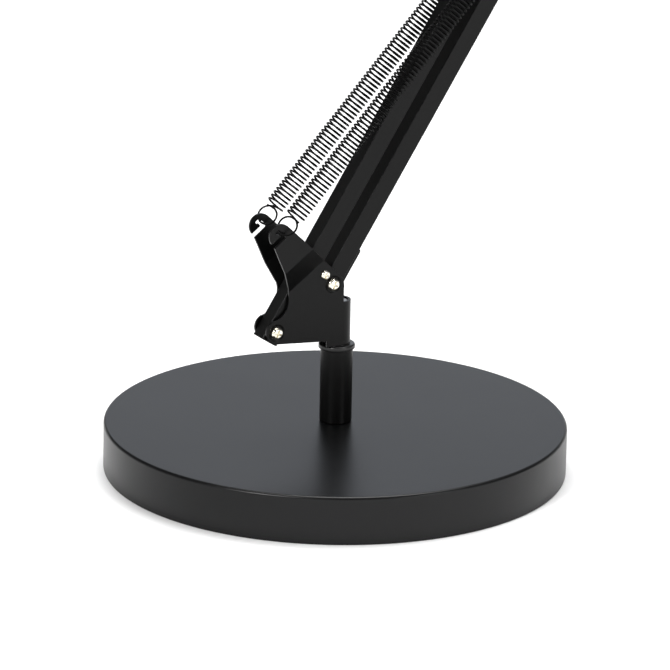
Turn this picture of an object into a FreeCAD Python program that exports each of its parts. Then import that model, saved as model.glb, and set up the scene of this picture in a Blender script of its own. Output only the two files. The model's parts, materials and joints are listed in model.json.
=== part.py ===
"""Balanced-arm desk lamp: round weighted base, swivel bracket, two parallel-bar arms, metal shade.

Frame: origin at the centre of the base's underside, +Z up, the arms lie in the XZ plane.
Near means the -Y side and far the +Y side. Millimetres. One STEP file is written per piece.
"""
import FreeCAD, Part
import math
import os

# ---- base and post
BASE_R = 115.0
BASE_H = 24.0
BASE_WALL = 1.6
BASE_EDGE_R = 1.6
PAD_T = 1.5
PAD_R = 111.0
WEIGHT_R = 110.0
WEIGHT_T = 14.0
POST_R = 8.0
POST_WALL = 1.5
POST_TOP = 62.0
BUSH_FLANGE_R = 9.15
BUSH_FLANGE_T = 2.5
PLUG_H = 16.0
BOLT_R = 3.0
BOLT_HEAD_AF = 10.0
BOLT_HEAD_H = 4.0
WASHER_R = 11.0
WASHER_T = 1.5
POCKET_DEPTH = 6.0
SPIGOT_H = 22.0

# ---- fits
RUN_FIT = 0.05
AIR = 0.3

# ---- swivel bracket, pressed from sheet
SHEET = 1.4
CHEEK_OUT = 6.6
CHEEK_IN = CHEEK_OUT - SHEET
EAR_OUT = 11.2
EAR_IN = EAR_OUT - SHEET
PIN_R = 5.0
PIN_BOTTOM = POST_TOP - 20.0
WRAP_BOTTOM = POST_TOP + BUSH_FLANGE_T + AIR
WRAP_TOP = 87.0
FRONT_PIVOT = (-37.0, 75.8)
REAR_PIVOT = (-6.0, 96.7)
LOBE_CENTRE = (-36.6, 76.3)
LOBE_R = 6.2
EYE_R = 5.9
EAR_CENTRE = (-38.0, 126.5)
EAR_R = 6.0
JOG_ANGLE = 36.0
JOG_FOOT = (-30.2, 96.3)
JOG_RUN = 11.6
BEND_R = 2.0
DIMPLE_R = 4.7
DIMPLE_FLOOR_R = 3.5
DIMPLE_DEPTH = 0.8
FRICTION_SCREW_AT = (-10.9, 102.4)

# ---- screws
SHANK_R = 2.0
HEAD_R = 3.1
HEAD_H = 2.2
NUT_AF = 7.0
NUT_H = 3.2
NUT_COLLAR_H = 1.2
SCREW_END = NUT_H + 2.2
SMALL_SHANK_R = 1.4
SMALL_HEAD_R = 2.4
SMALL_HEAD_H = 1.6

# ---- arms of square tube
BAR = 9.5
BAR_WALL = 1.0
BAR_CORNER_R = 0.5
BAR_LENGTH = 360.0
BAR_TAIL = 5.8
LOWER_LEAN = 32.5
UPPER_LEAN = -58.0
BUSH_R = 3.4
BUSH_HALF = 4.95
STOP_PLATE_T = 1.6
STOP_PLATE_FROM = -1.5
STOP_PLATE_TO = 21.5

# ---- springs
SPRING_Y = 10.5
SPRING_R = 5.15
WIRE_R = 0.48
LOOP_R = 4.7
HOOK_SEAT = (-37.2, 127.6)
LOWER_ANCHOR_AT = 198.0
UPPER_ANCHOR_AT = 190.0
ANCHOR_PIN_R = 2.0
ANCHOR_HALF = 13.2
CLIP_R = 3.4
CLIP_T = 0.8
CLIP_SETBACK = 1.2

# ---- elbow
ELBOW_RISE = (6.7, 22.7)
UPPER_PAIR = (10.9, 16.8)
ELBOW_HOOK = (5.0, 26.0)
ELBOW_R = 8.0
ELBOW_HOOK_R = 5.0

# ---- head
BLOCK_DX = -20.0
BLOCK_HALF_X = 9.0
BLOCK_LOW = -14.0
BLOCK_HIGH = 10.0
STEM_R = 4.0
COLLAR_R = 7.0
COLLAR_H = 3.4
TONGUE_HALF = 3.0
TONGUE_R = 8.0
TILT_DROP = 34.0
LUG_T = 2.5
LUG_BASE_DROP = 17.0
LUG_BASE_T = 2.5
LUG_BASE_R = 15.0
LUG_SCREW_X = 11.8
TILT_BOLT_R = 3.0
KNOB_R = 11.0
KNOB_H = 12.0
KNOB_SCALLOP_R = 4.6
KNOB_SCALLOP_OUT = 2.4
KNOB_ROOF = 3.0

# ---- shade and what it holds
CAP_R = 31.0
CAP_H = 62.0
CAP_WALL = 1.2
SHADE_R = 84.0
SHADE_H = 112.0
SHADE_NECK_R = 30.0
SHADE_NECK_H = 12.0
SHADE_SHOULDER_R = 56.0
SHADE_SHOULDER_DROP = 40.0
SHADE_OVERLAP = 8.0
SHADE_WALL = 1.0
HOLDER_R = 19.0
HOLDER_H = 46.0
HOLDER_DROP = 14.0
COLLAR_OUT = 4.0
RING_R = 25.0
RING_H = 5.0
SOCKET_R = 14.2
SOCKET_DROP = 20.0
CONTACT_T = 1.5
BULB_R = 30.0
BULB_CAP_H = 27.0
BULB_DROP = 50.0
BULB_NECK_R = 12.5
BULB_NECK_H = 14.0
BUTTON_R = 5.5
BUTTON_H = 7.0
BUTTON_TRAVEL = 2.0
SWITCH_DROP = 40.0
GLAND_R = 4.0
GLAND_BORE_R = 2.6
ROLL_R = 1.3
THREAD_PITCH = 4.0

Z_AXIS = FreeCAD.Vector(0, 0, 1)
Y_AXIS = FreeCAD.Vector(0, 1, 0)


def point(xz, y=0.0):
    """A point given by its place in the arm plane and its offset from that plane."""
    return FreeCAD.Vector(xz[0], y, xz[1])


def lean(angle):
    """Unit step in the arm plane that leans by this angle from vertical, towards +X."""
    return (math.sin(math.radians(angle)), math.cos(math.radians(angle)))


def along(start, angle, distance, sideways=0.0):
    """The place reached from start along a lean, then square to it, towards +X."""
    step = lean(angle)
    return (start[0] + step[0] * distance + step[1] * sideways,
            start[1] + step[1] * distance - step[0] * sideways)


def plus(a, b):
    return (a[0] + b[0], a[1] + b[1])


def rod(radius, xz, y_from, y_to):
    """A round solid across the arm plane."""
    return Part.makeCylinder(radius, y_to - y_from, point(xz, y_from), Y_AXIS)


def upright(radius, z_from, z_to, x=0.0):
    """A round solid standing along Z."""
    return Part.makeCylinder(radius, z_to - z_from, FreeCAD.Vector(x, 0, z_from), Z_AXIS)


def prism(corners, y_from, y_to):
    """A flat piece across the arm plane from (x, z) corners."""
    points = [point(c, y_from) for c in corners]
    wire = Part.makePolygon(points + [points[0]])
    return Part.Face(wire).extrude(FreeCAD.Vector(0, y_to - y_from, 0))


def strap(a, b, radius_a, radius_b, y_from, y_to):
    """A flat link with round ends: two discs and the tangent sides between them."""
    gap = math.hypot(b[0] - a[0], b[1] - a[1])
    heading = math.atan2(b[1] - a[1], b[0] - a[0])
    swing = math.acos((radius_a - radius_b) / gap)
    corners = []
    for centre, radius, side in ((a, radius_a, 1), (b, radius_b, 1), (b, radius_b, -1), (a, radius_a, -1)):
        turn = heading + side * swing
        corners.append((centre[0] + radius * math.cos(turn), centre[1] + radius * math.sin(turn)))
    link = prism(corners, y_from, y_to)
    return link.fuse([rod(radius_a, a, y_from, y_to), rod(radius_b, b, y_from, y_to)])


def hexagon(across_flats, xz, y_from, y_to):
    """A hexagonal solid across the arm plane."""
    radius = across_flats / math.sqrt(3)
    turns = [math.radians(60 * i) for i in range(6)]
    return prism([(xz[0] + radius * math.cos(t), xz[1] + radius * math.sin(t)) for t in turns], y_from, y_to)


def rounded(solid, radius, keep):
    """Rounds the edges that keep() picks, and leaves the solid as it was where that can't be done."""
    edges = [e for e in solid.Edges if keep(e)]
    try:
        done = solid.makeFillet(radius, edges)
        return done if done.isValid() and done.Volume > 0 else solid
    except Exception:
        return solid


def one(shape):
    """The shape with its flush faces merged, as a plain solid where it is one."""
    merged = shape.removeSplitter()
    return merged.Solids[0] if len(merged.Solids) == 1 else merged


def group(solids):
    return Part.makeCompound([one(s) for s in solids])


def save(name, shape):
    shape.exportStep("parts/%s.step" % name)


# ---------------------------------------------------------------- base

def base_shell():
    """Spun steel cover: a flat top, a straight side and a turned-in lip."""
    outer = upright(BASE_R, 0, BASE_H)
    outer = rounded(outer, BASE_EDGE_R, lambda e: e.Length > BASE_R and e.BoundBox.ZMin > BASE_H - 1)
    inner = upright(BASE_R - BASE_WALL, -1, BASE_H - BASE_WALL)
    hole = upright(BOLT_R + AIR, 0, BASE_H + 1)
    return one(outer.cut(inner).cut(hole))


def base_weight():
    """Cast iron disc under the cover's top, with a pocket for the post bolt's head."""
    top = BASE_H - BASE_WALL
    disc = upright(WEIGHT_R, top - WEIGHT_T, top)
    disc = rounded(disc, 2.0, lambda e: e.Length > WEIGHT_R and e.BoundBox.ZMax < top)
    pocket = upright(WASHER_R + 1, top - WEIGHT_T, top - WEIGHT_T + POCKET_DEPTH)
    return one(disc.cut(pocket).cut(upright(BOLT_R + AIR, 0, BASE_H)))


def base_pad():
    """Foam pad that the lamp stands on, held just inside the cover's lip."""
    pad = upright(BASE_R - BASE_WALL, 0, BASE_H - BASE_WALL - WEIGHT_T)
    pad = pad.cut(upright(PAD_R - 8, PAD_T, BASE_H))
    return one(pad)


def post_sleeve():
    tube = upright(POST_R, BASE_H, POST_TOP).cut(upright(POST_R - POST_WALL, BASE_H, POST_TOP))
    foot = lambda e: e.BoundBox.ZMax < BASE_H + 0.1 and e.Length > 2 * math.pi * (POST_R - 0.1)
    return one(rounded(tube, 0.8, foot))


def post_plug():
    """Threaded plug pressed into the foot of the sleeve; the bolt pulls it down."""
    plug = upright(POST_R - POST_WALL, BASE_H, BASE_H + PLUG_H)
    return one(plug.cut(upright(BOLT_R, BASE_H, BASE_H + PLUG_H - 3)))


def post_washer():
    low = BASE_H - BASE_WALL - WEIGHT_T + POCKET_DEPTH - WASHER_T
    return one(upright(WASHER_R, low, low + WASHER_T).cut(upright(BOLT_R, low, low + WASHER_T)))


def post_bolt():
    low = BASE_H - BASE_WALL - WEIGHT_T + POCKET_DEPTH - WASHER_T
    radius = BOLT_HEAD_AF / math.sqrt(3)
    corners = [FreeCAD.Vector(radius * math.cos(math.radians(60 * i)),
                              radius * math.sin(math.radians(60 * i)), low - BOLT_HEAD_H) for i in range(7)]
    head = Part.Face(Part.makePolygon(corners)).extrude(FreeCAD.Vector(0, 0, BOLT_HEAD_H))
    return one(head.fuse(upright(BOLT_R, low, BASE_H + PLUG_H - 3)))


def post_bush():
    """Flanged bush in the sleeve's mouth; the bracket's pin turns in it."""
    spigot = upright(POST_R - POST_WALL, POST_TOP - SPIGOT_H, POST_TOP)
    flange = upright(BUSH_FLANGE_R, POST_TOP, POST_TOP + BUSH_FLANGE_T)
    flange = rounded(flange, 0.7, lambda e: e.Length > 2 * math.pi * (BUSH_FLANGE_R - 0.1))
    bore = upright(PIN_R + RUN_FIT, POST_TOP - SPIGOT_H, POST_TOP + BUSH_FLANGE_T)
    return one(spigot.fuse(flange).cut(bore))


# ---------------------------------------------------------------- swivel bracket

def swivel_pin():
    """Upright pin: the upper part is gripped by the bracket's wrap, the lower part turns in the bush."""
    lower = upright(PIN_R, PIN_BOTTOM, WRAP_BOTTOM)
    upper = upright(CHEEK_IN, WRAP_BOTTOM, WRAP_TOP - 0.6)
    pin = lower.fuse(upper)
    return one(rounded(pin, 0.8, lambda e: e.BoundBox.ZMin > WRAP_TOP - 1))


def cheek_blank(y_from, y_to):
    """The outline of one cheek, cut through the depth asked for."""
    step = math.radians(-43.0)
    side = (-math.sin(step), math.cos(step))
    ear_top = (EAR_CENTRE[0] + side[0] * EAR_R, EAR_CENTRE[1] + side[1] * EAR_R)
    eye_top = (REAR_PIVOT[0] + side[0] * EYE_R, REAR_PIVOT[1] + side[1] * EYE_R)
    lobe_low = (LOBE_CENTRE[0], LOBE_CENTRE[1] - LOBE_R)
    neck_top, neck, neck_foot = (-30.9, 97.5), (-30.5, 93.2), (-31.6, 87.2)
    neck_curve = (-34.6, 83.8)
    foot_corner = (-9.0, 67.9)
    lobe_lean = math.radians(116.0)
    lobe_top = (LOBE_CENTRE[0] + LOBE_R * math.cos(lobe_lean), LOBE_CENTRE[1] + LOBE_R * math.sin(lobe_lean))
    lobe_side = (LOBE_CENTRE[0] - LOBE_R, LOBE_CENTRE[1])
    ear_end, ear_low = (-42.1, 122.1), (-41.0, 120.3)
    eye_foot = (0.0, REAR_PIVOT[1] - 3.0)
    edges = [
        Part.makeLine(point(eye_top), point(ear_top)),
        Part.Arc(point(ear_top), point((EAR_CENTRE[0] - EAR_R, EAR_CENTRE[1])), point(ear_end)).toShape(),
        Part.makeLine(point(ear_end), point(ear_low)),
        Part.makeLine(point(ear_low), point(neck_top)),
        Part.Arc(point(neck_top), point(neck), point(neck_foot)).toShape(),
        Part.Arc(point(neck_foot), point(neck_curve), point(lobe_top)).toShape(),
        Part.Arc(point(lobe_top), point(lobe_side), point(lobe_low)).toShape(),
        Part.makeLine(point(lobe_low), point(foot_corner)),
        Part.makeLine(point(foot_corner), point((foot_corner[0], WRAP_BOTTOM))),
        Part.makeLine(point((foot_corner[0], WRAP_BOTTOM)), point((0.0, WRAP_BOTTOM))),
        Part.makeLine(point((0.0, WRAP_BOTTOM)), point(eye_foot)),
        Part.Arc(point(eye_foot), point((REAR_PIVOT[0] + EYE_R, REAR_PIVOT[1] + 0.6)),
                 point(eye_top)).toShape(),
    ]
    face = Part.Face(Part.Wire(Part.__sortEdges__(edges)))
    blank = face.extrude(FreeCAD.Vector(0, y_to - y_from, 0))
    blank.translate(FreeCAD.Vector(0, y_from, 0))
    return blank


def hook_slot(y_from, y_to):
    """The slot in an ear that the spring's loop hangs in: a mouth, a bend and a pocket behind a barb."""
    corners = [(-46.5, 116.3), (-35.0, 125.4), (-36.5, 128.2), (-39.5, 129.9), (-40.9, 128.4),
               (-40.2, 127.3), (-39.0, 127.5), (-38.1, 126.3), (-46.5, 119.8)]
    return prism(corners, y_from, y_to)


def bent_sheet(side):
    """The sheet of one cheek seen along its joggle: flat, sloped out, then flat again at the ear."""
    across = (math.cos(math.radians(JOG_ANGLE)), math.sin(math.radians(JOG_ANGLE)))
    up = (-across[1], across[0])
    low, high = -70.0, 60.0
    profile = [(low, CHEEK_IN), (0.0, CHEEK_IN), (JOG_RUN, EAR_IN), (high, EAR_IN),
               (high, EAR_OUT), (JOG_RUN, EAR_OUT), (0.0, CHEEK_OUT), (low, CHEEK_OUT)]
    reach = 80.0
    start = (JOG_FOOT[0] - across[0] * reach, JOG_FOOT[1] - across[1] * reach)
    corners = [FreeCAD.Vector(start[0] + up[0] * t, side * y, start[1] + up[1] * t) for t, y in profile]
    face = Part.Face(Part.makePolygon(corners + [corners[0]]))
    slab = face.extrude(FreeCAD.Vector(across[0] * 2 * reach, 0, across[1] * 2 * reach))
    bend = lambda e: abs(e.Length - 2 * reach) < 0.1 and any(
        abs((e.Vertexes[0].Point - FreeCAD.Vector(*c)).Length) < 0.1 or
        abs((e.Vertexes[1].Point - FreeCAD.Vector(*c)).Length) < 0.1
        for c in (corners[1], corners[2], corners[5], corners[6]))
    return rounded(slab, BEND_R, bend)


def bracket_cheek(side):
    y_from, y_to = (-14.0, -4.0) if side < 0 else (4.0, 14.0)
    cheek = bent_sheet(side).common(cheek_blank(y_from, y_to))
    cheek = cheek.cut(hook_slot(y_from, y_to))
    for pivot in (FRONT_PIVOT, REAR_PIVOT):
        cheek = cheek.cut(rod(SHANK_R, pivot, y_from, y_to))
    if side < 0:
        for pivot in (FRONT_PIVOT, REAR_PIVOT):
            cheek = cheek.cut(dimple(pivot))
        cheek = cheek.cut(rod(SMALL_SHANK_R, FRICTION_SCREW_AT, y_from, y_to))
    return cheek


def dimple(pivot):
    """The shallow seat round a screw head, with a sloped wall."""
    return Part.makeCone(DIMPLE_R, DIMPLE_FLOOR_R, DIMPLE_DEPTH, point(pivot, -CHEEK_OUT), Y_AXIS)


def swivel_bracket():
    """One pressing: two cheeks joined by the half-round wrap behind the pin."""
    wrap = upright(CHEEK_OUT, WRAP_BOTTOM, WRAP_TOP).cut(upright(CHEEK_IN, WRAP_BOTTOM, WRAP_TOP))
    keep = Part.makeBox(20, 40, 40, FreeCAD.Vector(0, -20, WRAP_BOTTOM - 5))
    wrap = wrap.common(keep)
    bracket = wrap.fuse([bracket_cheek(-1), bracket_cheek(1)])
    return one(bracket)


# ---------------------------------------------------------------- fasteners

def cross_recess(size, depth, xz, y_top):
    """The cross in a screw head, pointing down the screw, which lies along +Y."""
    arm = Part.makeBox(size * 2, depth, size * 0.42, FreeCAD.Vector(-size, 0, -size * 0.21))
    other = Part.makeBox(size * 0.42, depth, size * 2, FreeCAD.Vector(-size * 0.21, 0, -size))
    cross = arm.fuse(other)
    cross.rotate(FreeCAD.Vector(0, 0, 0), Y_AXIS, 20)
    cross.translate(point(xz, y_top))
    return cross


def pan_screw(xz, seat_y, end_y, shank_r=SHANK_R, head_r=HEAD_R, head_h=HEAD_H):
    """A pan-head cross screw whose head sits on seat_y, on the near side, and whose end is at end_y."""
    head = rod(head_r, xz, seat_y - head_h, seat_y)
    head = rounded(head, head_h * 0.62, lambda e: e.BoundBox.YMax < seat_y - head_h + 0.01)
    head = head.cut(cross_recess(head_r * 0.62, head_h * 0.6, xz, seat_y - head_h - 0.01))
    return one(head.fuse(rod(shank_r, xz, seat_y, end_y)))


def lock_nut(xz, seat_y):
    """A hexagon nut on the far side with a round collar."""
    body = hexagon(NUT_AF, xz, seat_y, seat_y + NUT_H)
    collar = rod(NUT_AF * 0.42, xz, seat_y + NUT_H, seat_y + NUT_H + NUT_COLLAR_H)
    return one(body.fuse(collar).cut(rod(SHANK_R, xz, seat_y, seat_y + NUT_H + NUT_COLLAR_H)))


def clips(xz):
    """The two push-on washers that keep a spring on its pin."""
    made = []
    for side in (-1, 1):
        face = side * (ANCHOR_HALF - CLIP_SETBACK)
        y_from = min(face, face - side * CLIP_T)
        y_to = y_from + CLIP_T
        made.append(rod(CLIP_R, xz, y_from, y_to).cut(rod(ANCHOR_PIN_R, xz, y_from, y_to)))
    return group(made)


def anchor_pin(xz):
    """Cross pin that the springs' upper loops hang on, with chamfered ends."""
    pin = rod(ANCHOR_PIN_R, xz, -ANCHOR_HALF, ANCHOR_HALF)
    return one(rounded(pin, 0.5, lambda e: abs(e.Length - 2 * math.pi * ANCHOR_PIN_R) < 0.1))


# ---------------------------------------------------------------- bars

def square_bar(pivot, angle, pin_at=None):
    """Square tube with pivot holes at both ends and, if asked, a hole for the spring pin."""
    total = BAR_LENGTH + 2 * BAR_TAIL
    outer = Part.makeBox(BAR, BAR, total, FreeCAD.Vector(-BAR / 2, -BAR / 2, -BAR_TAIL))
    outer = outer.makeFillet(BAR_CORNER_R, [e for e in outer.Edges if abs(e.Length - total) < 0.1])
    hollow = BAR - 2 * BAR_WALL
    inner = Part.makeBox(hollow, hollow, total, FreeCAD.Vector(-hollow / 2, -hollow / 2, -BAR_TAIL))
    bar = outer.cut(inner)
    for height in (0.0, BAR_LENGTH):
        bar = bar.cut(rod(BUSH_R, (0.0, height), -BAR, BAR))
    if pin_at is not None:
        bar = bar.cut(rod(ANCHOR_PIN_R, (0.0, pin_at), -BAR, BAR))
    bar.rotate(FreeCAD.Vector(0, 0, 0), Y_AXIS, angle)
    bar.translate(point(pivot))
    return one(bar)


def bushes(pivot, angle):
    """The two nylon bushes of a bar, standing a little proud of its sides."""
    made = []
    for distance in (0.0, BAR_LENGTH):
        place = along(pivot, angle, distance)
        made.append(rod(BUSH_R, place, -BUSH_HALF, BUSH_HALF).cut(
            rod(SHANK_R + RUN_FIT, place, -BUSH_HALF, BUSH_HALF)))
    return group(made)


def stop_plate():
    """Short plate on the back of the rear bar's foot, its upper corners eased."""
    length = STOP_PLATE_TO - STOP_PLATE_FROM
    corner = FreeCAD.Vector(BAR / 2, 1.0 - BAR / 2, STOP_PLATE_FROM)
    plate = Part.makeBox(STOP_PLATE_T, BAR - 2.0, length, corner)
    top = lambda e: e.BoundBox.ZMin > STOP_PLATE_TO - 0.1 and e.BoundBox.XMin > BAR / 2 + STOP_PLATE_T - 0.1
    plate = rounded(plate, STOP_PLATE_T * 0.8, top)
    plate.rotate(FreeCAD.Vector(0, 0, 0), Y_AXIS, LOWER_LEAN)
    plate.translate(point(REAR_PIVOT))
    return one(plate)


# ---------------------------------------------------------------- springs

def spring_body(low_end, high_end, y, low_in_slot):
    """A tension spring as a thin tube with a round loop at each end.

    A loop on a pin lies in the arm plane round the pin; a loop in an ear's slot stands across that plane.
    """
    reach = point(high_end, y) - point(low_end, y)
    length = reach.Length
    axis = reach.normalize()
    on_pin = LOOP_R - WIRE_R - ANCHOR_PIN_R - 0.02
    across = axis.cross(Y_AXIS)
    low_centre, low_normal = (LOOP_R, across) if low_in_slot else (on_pin, Y_AXIS)
    places = ((low_centre, low_normal), (length - on_pin, Y_AXIS))
    coil_from = low_centre + LOOP_R + WIRE_R
    coil_to = length - on_pin - LOOP_R - WIRE_R
    start = point(low_end, y) + axis * coil_from
    coil = Part.makeCylinder(SPRING_R, coil_to - coil_from, start, axis)
    hollow = Part.makeCylinder(SPRING_R - 2 * WIRE_R, coil_to - coil_from - 4 * WIRE_R,
                               start + axis * 2 * WIRE_R, axis)
    loops = [Part.makeTorus(LOOP_R, WIRE_R, point(low_end, y) + axis * d, n) for d, n in places]
    stubs = [Part.makeCylinder(WIRE_R, 2 * WIRE_R, point(low_end, y) + axis * d, axis)
             for d in (coil_from - WIRE_R, coil_to - WIRE_R)]
    return one(coil.cut(hollow).fuse(loops + stubs))


# ---------------------------------------------------------------- elbow and head

def elbow_places():
    """The elbow's four pivots and its spring pin, in the arm plane."""
    front = along(FRONT_PIVOT, LOWER_LEAN, BAR_LENGTH)
    rear = along(REAR_PIVOT, LOWER_LEAN, BAR_LENGTH)
    low = plus(front, ELBOW_RISE)
    high = plus(low, UPPER_PAIR)
    return front, rear, low, high, plus(high, ELBOW_HOOK)


def flat_plate(straps, corners, holes, side):
    """A flat pressed plate on one side of the bars: links between pivots, filled between, and drilled."""
    y_from = CHEEK_IN if side > 0 else -CHEEK_OUT
    y_to = y_from + SHEET
    plate = prism(corners, y_from, y_to)
    plate = plate.fuse([strap(a, b, ra, rb, y_from, y_to) for a, b, ra, rb in straps])
    plate = plate.removeSplitter()
    for place, radius in holes:
        plate = plate.cut(rod(radius, place, y_from - 1, y_to + 1))
    rim = lambda e: abs(e.BoundBox.YMax - (y_to if side > 0 else y_from)) < 0.01 and e.BoundBox.YLength < 0.01
    return one(rounded(plate, 0.35, rim))


def elbow_plate(side):
    front, rear, low, high, hook = elbow_places()
    ring = [front, rear, high, hook, low]
    straps = [(front, rear, ELBOW_R, ELBOW_R), (rear, high, ELBOW_R, ELBOW_R),
              (high, hook, ELBOW_R, ELBOW_HOOK_R), (hook, low, ELBOW_HOOK_R, ELBOW_R),
              (low, front, ELBOW_R, ELBOW_R)]
    holes = [(p, SHANK_R) for p in (front, rear, low, high)] + [(hook, ANCHOR_PIN_R)]
    return flat_plate(straps, ring, holes, side)


def head_places():
    """The head bracket's two pivots and the foot of its block's axis."""
    _, _, low, high, _ = elbow_places()
    first = along(low, UPPER_LEAN, BAR_LENGTH)
    second = along(high, UPPER_LEAN, BAR_LENGTH)
    return first, second, (first[0] + BLOCK_DX, first[1])


def head_plate(side):
    first, second, block = head_places()
    top = (block[0], block[1] + BLOCK_HIGH - 7)
    low = (block[0], block[1] + BLOCK_LOW + 7)
    straps = [(first, second, ELBOW_R, ELBOW_R), (second, top, ELBOW_R, 7.0),
              (top, low, 7.0, 7.0), (low, first, 7.0, ELBOW_R)]
    holes = [(first, SHANK_R), (second, SHANK_R), (block, SMALL_SHANK_R)]
    return flat_plate(straps, [first, second, top, low], holes, side)


def head_block():
    """Zinc block between the plates, bored upright for the stem."""
    _, _, block = head_places()
    body = Part.makeBox(2 * BLOCK_HALF_X - 4, 2 * CHEEK_IN, BLOCK_HIGH - BLOCK_LOW,
                        FreeCAD.Vector(block[0] - BLOCK_HALF_X + 2, -CHEEK_IN, block[1] + BLOCK_LOW))
    bore = upright(STEM_R + RUN_FIT, block[1] + BLOCK_LOW, block[1] + BLOCK_HIGH, block[0])
    return one(body.cut([bore, rod(SMALL_SHANK_R, block, -CHEEK_IN, CHEEK_IN)]))


def block_screws():
    """Two short screws, one through each head plate into the block."""
    _, _, block = head_places()
    made = [pan_screw(block, -CHEEK_OUT, -STEM_R - 0.6, SMALL_SHANK_R, SMALL_HEAD_R, SMALL_HEAD_H)]
    other = made[0].copy()
    other.rotate(point(block), Z_AXIS, 180)
    made.append(other)
    return made


def head_stem():
    """Stem that turns in the block: pin, collar and a flat tongue with a round end."""
    _, _, block = head_places()
    x, z = block
    pin = upright(STEM_R, z + BLOCK_LOW - AIR, z + BLOCK_HIGH + 3.0, x)
    collar = upright(COLLAR_R, z + BLOCK_LOW - AIR - COLLAR_H, z + BLOCK_LOW - AIR, x)
    tilt = (x, z - TILT_DROP)
    neck = prism([(x - 6, z + BLOCK_LOW - AIR - COLLAR_H), (x + 6, z + BLOCK_LOW - AIR - COLLAR_H),
                  (x + TONGUE_R, tilt[1]), (x - TONGUE_R, tilt[1])], -TONGUE_HALF, TONGUE_HALF)
    eye = rod(TONGUE_R, tilt, -TONGUE_HALF, TONGUE_HALF)
    stem = pin.fuse([collar, neck, eye]).cut(rod(TILT_BOLT_R + RUN_FIT, tilt, -TONGUE_HALF, TONGUE_HALF))
    groove_from = z + BLOCK_HIGH + AIR
    groove = upright(STEM_R + 1, groove_from, groove_from + CLIP_T, x).cut(
        upright(STEM_R - 0.6, groove_from, groove_from + CLIP_T, x))
    return one(stem.cut(groove))


def stem_clip():
    _, _, block = head_places()
    low = block[1] + BLOCK_HIGH + AIR
    return one(upright(STEM_R + 0.9, low, low + CLIP_T, block[0]).cut(
        upright(STEM_R - 0.6, low, low + CLIP_T, block[0])))


def shade_frame():
    """(x of the shade's axis, height of the tilt bolt, height of the cap's top)."""
    _, _, block = head_places()
    tilt_z = block[1] - TILT_DROP
    return block[0], tilt_z, tilt_z - LUG_BASE_DROP - LUG_BASE_T


def shade_lug():
    """Clevis on the cap's top: a round foot and two ears that hold the tongue."""
    x, tilt_z, cap_top = shade_frame()
    foot = upright(LUG_BASE_R, cap_top, cap_top + LUG_BASE_T, x)
    ear_in = TONGUE_HALF + AIR
    ears = []
    for side in (-1, 1):
        y_from = ear_in if side > 0 else -ear_in - LUG_T
        ear = prism([(x - 10, cap_top), (x + 10, cap_top), (x + TONGUE_R, tilt_z), (x - TONGUE_R, tilt_z)],
                    y_from, y_from + LUG_T)
        ears.append(ear.fuse(rod(TONGUE_R, (x, tilt_z), y_from, y_from + LUG_T)))
    lug = foot.fuse(ears)
    lug = lug.cut(rod(TILT_BOLT_R, (x, tilt_z), -20, 20))
    for side in (-1, 1):
        lug = lug.cut(upright(SMALL_SHANK_R, cap_top - 1, cap_top + 5, x + side * LUG_SCREW_X))
    return one(lug)


def tilt_bolt():
    """Bolt through the clevis and the tongue: a domed head on the far side, the knob on the near side."""
    x, tilt_z, _ = shade_frame()
    lug_out = TONGUE_HALF + AIR + LUG_T
    shank = rod(TILT_BOLT_R, (x, tilt_z), -lug_out - KNOB_H + KNOB_ROOF, lug_out)
    head = rod(6.0, (x, tilt_z), lug_out, lug_out + 3.0)
    head = rounded(head, 2.0, lambda e: e.BoundBox.YMin > lug_out + 2.9)
    return one(shank.fuse(head))


def tilt_knob():
    """Five-lobed knob on the near side of the tilt bolt."""
    x, tilt_z, _ = shade_frame()
    seat = -(TONGUE_HALF + AIR + LUG_T) - AIR
    body = rod(KNOB_R, (x, tilt_z), seat - KNOB_H, seat)
    reach = KNOB_R + KNOB_SCALLOP_OUT
    for index in range(5):
        turn = math.radians(72 * index)
        place = (x + reach * math.cos(turn), tilt_z + reach * math.sin(turn))
        body = body.cut(rod(KNOB_SCALLOP_R, place, seat - KNOB_H - 1, seat + 1))
    body = rounded(body, 1.0, lambda e: e.BoundBox.YMax < seat - KNOB_H + 0.01)
    return one(body.cut(rod(TILT_BOLT_R + RUN_FIT, (x, tilt_z), seat - KNOB_H + KNOB_ROOF, seat)))


def shade_cap():
    """Back housing over the lampholder: a straight can with a closed top and an eased shoulder."""
    x, _, top = shade_frame()
    can = upright(CAP_R, top - CAP_H, top, x)
    can = rounded(can, 7.0, lambda e: e.BoundBox.ZMin > top - 0.1)
    hollow = upright(CAP_R - CAP_WALL, top - CAP_H - 1, top - CAP_WALL, x)
    hollow = rounded(hollow, 6.0, lambda e: e.BoundBox.ZMin > top - CAP_WALL - 0.1)
    can = can.cut(hollow)
    for side in (-1, 1):
        can = can.cut(upright(SMALL_SHANK_R, top - 5, top + 1, x + side * LUG_SCREW_X))
        vent_z = top - 22.0
        for index in range(4):
            slot_y = 7.5 * (index - 1.5)
            slot = Part.makeBox(20, 3.0, 16, FreeCAD.Vector(x + side * 28 - 10, slot_y - 1.5, vent_z - 8))
            can = can.cut(slot)
    button = rod(BUTTON_R + AIR, (x, top - SWITCH_DROP), CAP_R - 8, CAP_R + 2)
    gland = rod(GLAND_R, (x, top - SWITCH_DROP), -CAP_R - 2, -CAP_R + 8)
    return one(can.cut(button).cut(gland))


def tangent_arc(start, end, travel):
    """An arc in the XZ plane from start to end that arrives heading along travel, a unit step."""
    chord = end - start
    inward = FreeCAD.Vector(travel.z, 0, -travel.x)
    radius = -chord.Length ** 2 / (2 * chord.dot(inward))
    centre = end + inward * radius
    middle = ((start + end) * 0.5 - centre).normalize() * abs(radius)
    return Part.Arc(start, centre + middle, end).toShape()


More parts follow.
